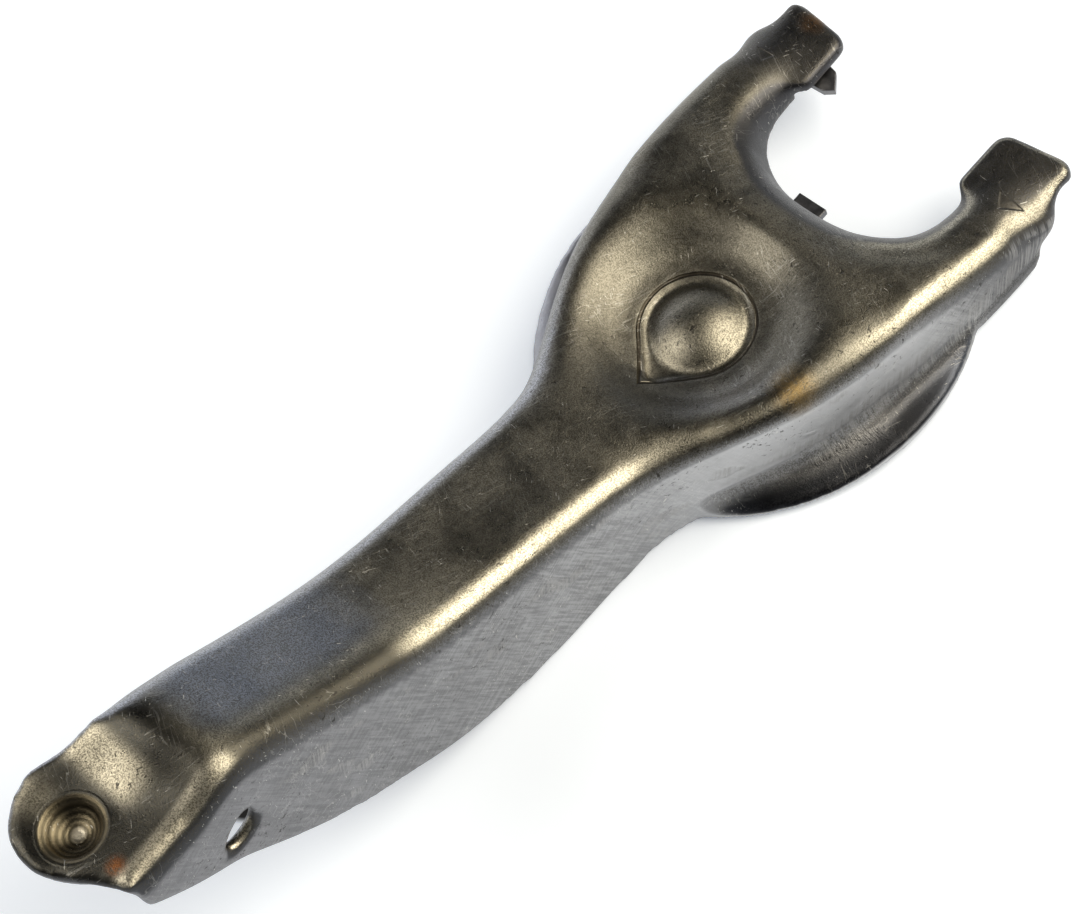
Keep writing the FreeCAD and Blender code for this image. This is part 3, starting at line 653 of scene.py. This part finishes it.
def pressed_skin(source):
    obj = remeshed(source, "fork_skin", SKIN_STEP * MM)
    skin = Surface(obj)
    start = skin.points.copy()
    skin.smooth(ROUNDS["all"], np.ones(len(start)))
    x, y, z = start.T
    top = ramp(skin.normals()[:, 2], *BLEND["top"])
    # nose: the floor beside the push-rod seat stays level up to the right-hand bend
    dx, dy = x - SEAT[0], y - SEAT[1]
    far = np.hypot(dx, dy)
    toward = ramp(-dy / np.maximum(far, 1e-6), *LEVEL_TOWARD)
    level_far = far * (1 - LEVEL_SHARE * toward)
    drop = np.interp(far, BOWL_FAR, BOWL_RISE) - np.interp(level_far, BOWL_FAR, BOWL_RISE)
    drop *= (1 - ramp(far, *LEVEL_OUT)) * ramp(z, *LEVEL_Z)
    skin.points[:, 2] -= drop
    nose = ramp(far, *BLEND["nose_in"]) * (1 - ramp(far, *BLEND["nose_out"]))
    nose *= ramp(skin.points[:, 2], *BLEND["nose_z"])
    skin.smooth(ROUNDS["nose"], skin.spread(nose * top, 6))
    rim = (1 - ramp(far, *BLEND["rim_out"])) * ramp(far, *BLEND["rim_in"])
    skin.smooth(ROUNDS["rim"], rim)
    # dish round the ball dome
    far = np.hypot(x, y)
    dish = ramp(far, *BLEND["dish_in"]) * (1 - ramp(far, *BLEND["dish_out"]))
    skin.smooth(ROUNDS["dish"], skin.spread(dish * top, 4))
    # arms running into the tip pads, and the ears beside them
    side = np.abs(y)
    pads = ramp(x, *BLEND["pad_in"]) * (1 - ramp(x, *BLEND["pad_out"]))
    pads *= ramp(side, *BLEND["pad_side_in"]) * (1 - ramp(side, *BLEND["pad_side_out"]))
    skin.smooth(ROUNDS["pads"], skin.spread(pads * top, 6))
    from_ear = np.sqrt((x - EAR[0]) ** 2 + (side - EAR[1]) ** 2 + (z - EAR[2]) ** 2)
    skin.smooth(ROUNDS["ears"], 1 - ramp(from_ear, *BLEND["ear_out"]))
    # notch wall: leans back from its lower edge up to the bend
    p = skin.points
    rx, ry = p[:, 0] - NOTCH_MID, p[:, 1]
    far = np.hypot(rx, ry)
    lean = NOTCH_LEAN * ramp(p[:, 2], *LEAN_Z) * (1 - ramp(far, *LEAN_OUT))
    lean *= 1 - ramp(p[:, 0], *LEAN_X)
    p[:, 0] += lean * rx / far
    p[:, 1] += lean * ry / far
    skin.points = np.clip(p, start.min(0), start.max(0))
    skin.store()
    for face in obj.data.polygons:
        face.use_smooth = True
    return obj


fork = pressed_skin(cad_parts["fork_body"])
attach(fork, "root")
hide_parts("fork_body")
dress(fork, fork_steel())
dress(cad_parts["retaining_spring"], spring_steel())

# ---------------------------------------------------------------- floor, light, camera
FLOOR_SIZE, FLOOR_GLOW, FLOOR_ROUGH = 6.0, 0.32, 0.9
PAPER, PAINTED_SHADOW = rgb(0.80, 0.85, 0.93), rgb(0.01, 0.01, 0.01)
# Painted shadow: a small near-black spot on the floor under the arm, in line with the return-spring
# hole.
# It is in plain sight from behind.
PAINTED_SHADOW_AT, PAINTED_SHADOW_STRETCH, PAINTED_SHADOW_REACH = (-0.1043, 0.0175, 0.0), (0.7, 1.0, 0.0), (0.0055, 0.0072)
bpy.ops.mesh.primitive_plane_add(size=FLOOR_SIZE, location=(0, 0, cad_lo.z))
floor = bpy.context.object
floor.name = "studio_floor"
paper = bpy.data.materials.new("floor_paper")
paper.use_nodes = True
pn = paper.node_tree.nodes["Principled BSDF"]
pn.inputs["Emission Strength"].default_value = FLOOR_GLOW
paper_graph = Graph(paper.node_tree)
spot = paper_graph.node("ShaderNodeNewGeometry").outputs["Position"]
under_arm = paper_graph.vec("DISTANCE", paper_graph.scaled(spot, PAINTED_SHADOW_STRETCH), PAINTED_SHADOW_AT, out=1)
paper_tone = paper_graph.mix(paper_graph.step(under_arm, *PAINTED_SHADOW_REACH), PAINTED_SHADOW, PAPER)
paper_graph.feed(pn.inputs["Base Color"], paper_tone)
paper_graph.feed(pn.inputs["Emission Color"], paper_tone)
pn.inputs["Roughness"].default_value = FLOOR_ROUGH
dress(floor, paper)

world = bpy.data.worlds.new("studio_world")
scene.world = world
world.use_nodes = True
world.node_tree.nodes.clear()
ROOM_TINT, ROOM_LIGHT = rgb(0.85, 0.9, 1.0), 0.045
w = Graph(world.node_tree)
path = w.node("ShaderNodeLightPath")
seen = w.node("ShaderNodeBackground", {"Color": rgb(1, 1, 1), "Strength": 1.0})
room = w.node("ShaderNodeBackground", {"Color": ROOM_TINT, "Strength": ROOM_LIGHT})
both = w.node("ShaderNodeMixShader", {0: path.outputs["Is Camera Ray"]})
w.links.new(room.outputs[0], both.inputs[1])
w.links.new(seen.outputs[0], both.inputs[2])
w.feed(w.node("ShaderNodeOutputWorld").inputs[0], both.outputs[0])


WARM, PALE_WARM = (1.0, 0.93, 0.79), (1.0, 0.95, 0.86)
COOL, PALE_COOL = (0.86, 0.91, 1.0), (0.90, 0.93, 1.0)
# name, direction, distance and sides in m, power in W, tint
LIGHTS = (("softbox_right", (0.53, -0.45, 0.70), 1.1, 1.05, 0.90, 17.0, WARM),
          ("softbox_left", (-0.55, 0.46, 0.70), 1.1, 0.60, 0.70, 6.0, PALE_WARM),
          ("card_far", (0.87, 0.44, 0.23), 1.2, 0.70, 0.40, 0.6, COOL),
          ("card_back", (0.15, 0.96, 0.22), 1.2, 1.50, 0.45, 4.0, PALE_COOL))
LIGHT_AIM = Vector((-0.05, 0.0, 0.0))


def light(name, way, far, wide, tall, power, tint):
    lamp = bpy.data.lights.new(name, "AREA")
    lamp.shape, lamp.size, lamp.size_y = "RECTANGLE", wide, tall
    lamp.energy, lamp.color = power, tint
    obj = bpy.data.objects.new(name, lamp)
    scene.collection.objects.link(obj)
    way = Vector(way).normalized()
    obj.location = way * far + LIGHT_AIM
    obj.rotation_mode = "QUATERNION"
    obj.rotation_quaternion = way.to_track_quat("Z", "Y")


for each in LIGHTS:
    light(*each)

CAMERA_AT = (-0.2240, -0.3525, 0.7228)
CAMERA_RIGHT = Vector((0.6521, -0.7298, -0.2056))
CAMERA_DOWN = Vector((-0.7279, -0.5267, -0.4390))
CAMERA_AWAY = Vector((0.2120, 0.4359, -0.8747))
cam = bpy.data.cameras.new("camera")
cam.sensor_width, cam.lens, cam.clip_end = 36.0, 116.667, 20.0
cam_obj = bpy.data.objects.new("camera", cam)
scene.collection.objects.link(cam_obj)
turn = Matrix((CAMERA_RIGHT, -CAMERA_DOWN, -CAMERA_AWAY)).transposed()
cam_obj.matrix_world = Matrix.Translation(CAMERA_AT) @ turn.to_4x4()
scene.camera = cam_obj
scene.view_settings.view_transform = "Standard"
